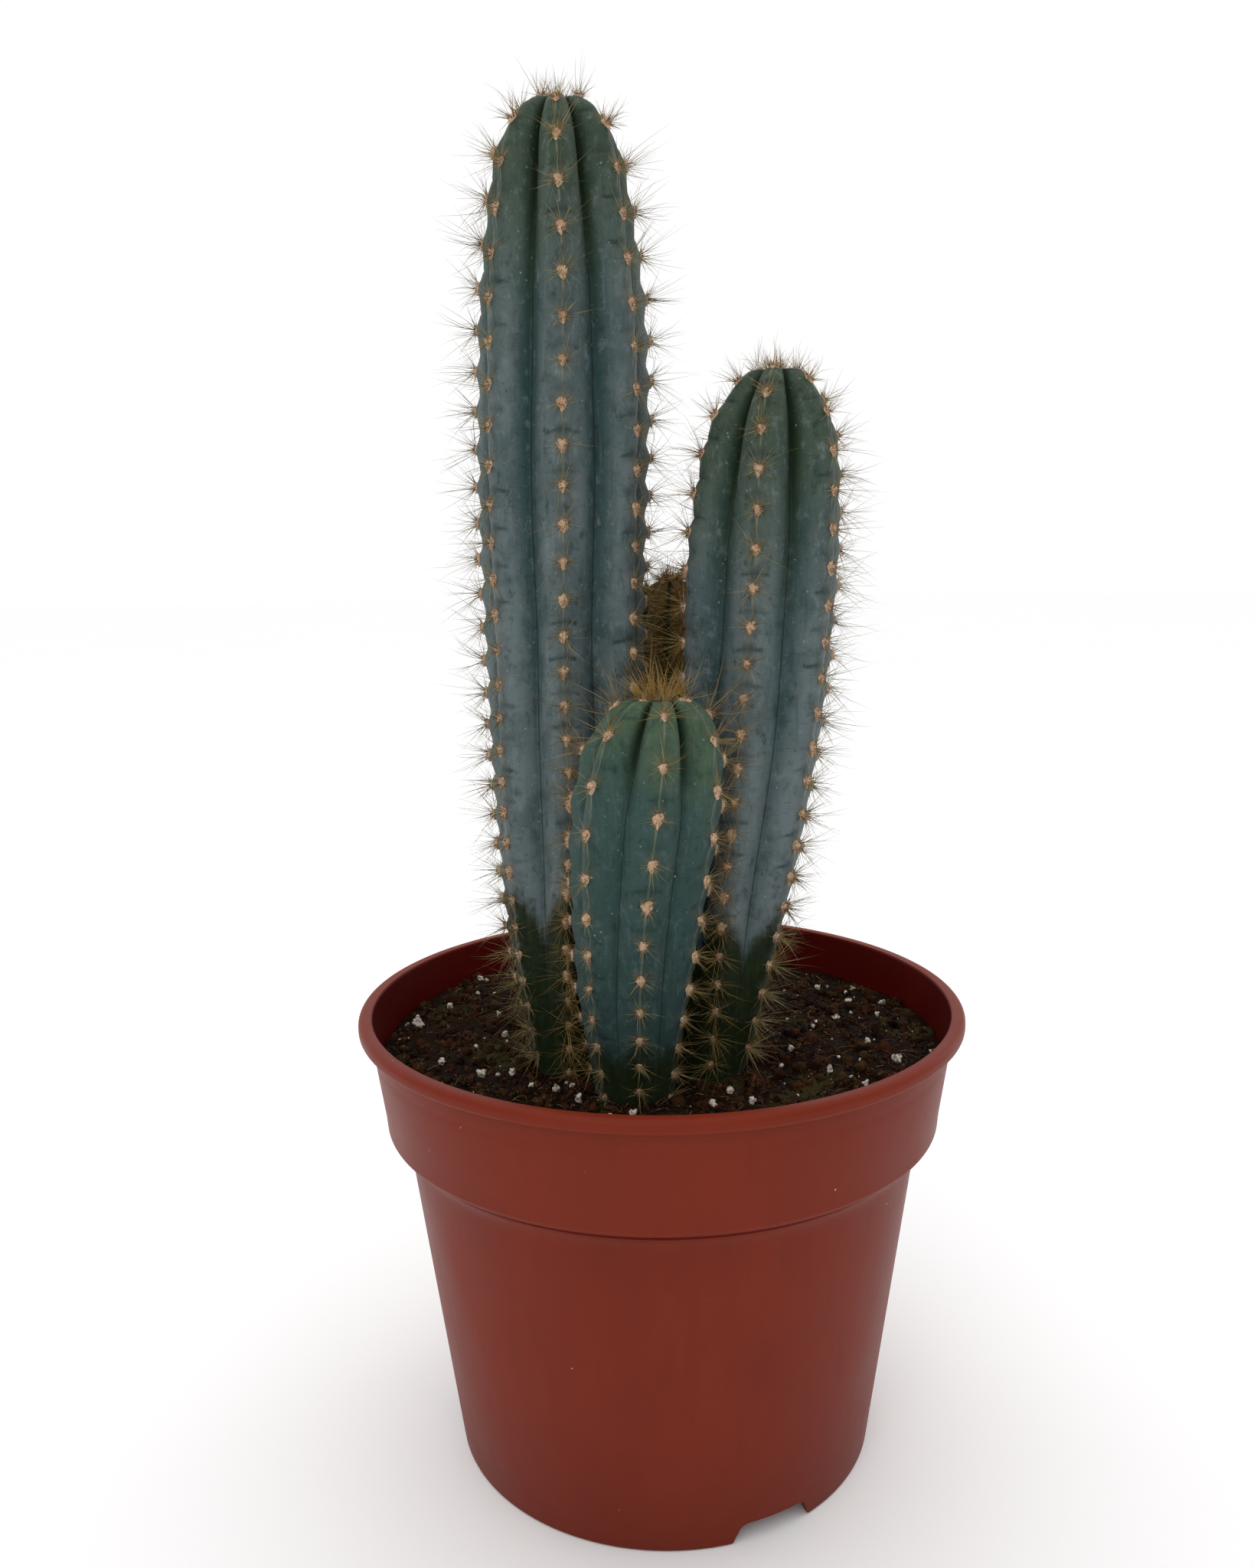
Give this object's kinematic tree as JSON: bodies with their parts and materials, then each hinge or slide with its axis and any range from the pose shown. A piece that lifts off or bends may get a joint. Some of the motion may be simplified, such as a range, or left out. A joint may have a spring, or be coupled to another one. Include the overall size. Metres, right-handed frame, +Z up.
{
  "type": "potted columnar cactus",
  "caption": "Columnar cactus: a clump of ribbed blue-green stems with woolly areoles, rising from peat soil in a round tapered plastic nursery pot with a collar, foot ring and drainage notches.",
  "frame": {"origin": "centre of the pot's foot ring, on the surface that the pot stands on", "axes": "+Z up along the pot's axis; -Y is the front, the side nearest to the shortest stem; +X is to the right seen from the front"},
  "size_m": [0.17, 0.17, 0.3678],
  "materials": {
    "pot_plastic": "satin injection-moulded terracotta brown",
    "soil": "moist dark peat with fibres, matt",
    "perlite": "matt, rough, off-white",
    "blue_green_skin": "matt waxy bloom over blue-green skin, tan woolly areoles, honey spines",
    "olive_brown_skin": "matt olive-brown skin under dense golden-brown spines"
  },
  "bodies": {
    "root": {"pot": "pot_plastic", "soil": "soil", "perlite_01": "perlite", "perlite_02": "perlite", "perlite_03": "perlite", "perlite_04": "perlite", "perlite_05": "perlite", "perlite_06": "perlite", "perlite_07": "perlite", "perlite_08": "perlite", "perlite_09": "perlite", "perlite_10": "perlite", "perlite_11": "perlite", "perlite_12": "perlite", "perlite_13": "perlite", "perlite_14": "perlite", "perlite_15": "perlite", "perlite_16": "perlite", "perlite_17": "perlite", "perlite_18": "perlite", "perlite_19": "perlite", "perlite_20": "perlite", "perlite_21": "perlite", "perlite_22": "perlite", "perlite_23": "perlite", "perlite_24": "perlite", "perlite_25": "perlite", "perlite_26": "perlite", "perlite_27": "perlite", "perlite_28": "perlite", "perlite_29": "perlite", "perlite_30": "perlite", "perlite_31": "perlite", "perlite_32": "perlite", "tall_stem": "blue_green_skin", "right_stem": "blue_green_skin", "front_stem": "blue_green_skin", "rear_stem": "olive_brown_skin"}
  },
  "joints": []
}
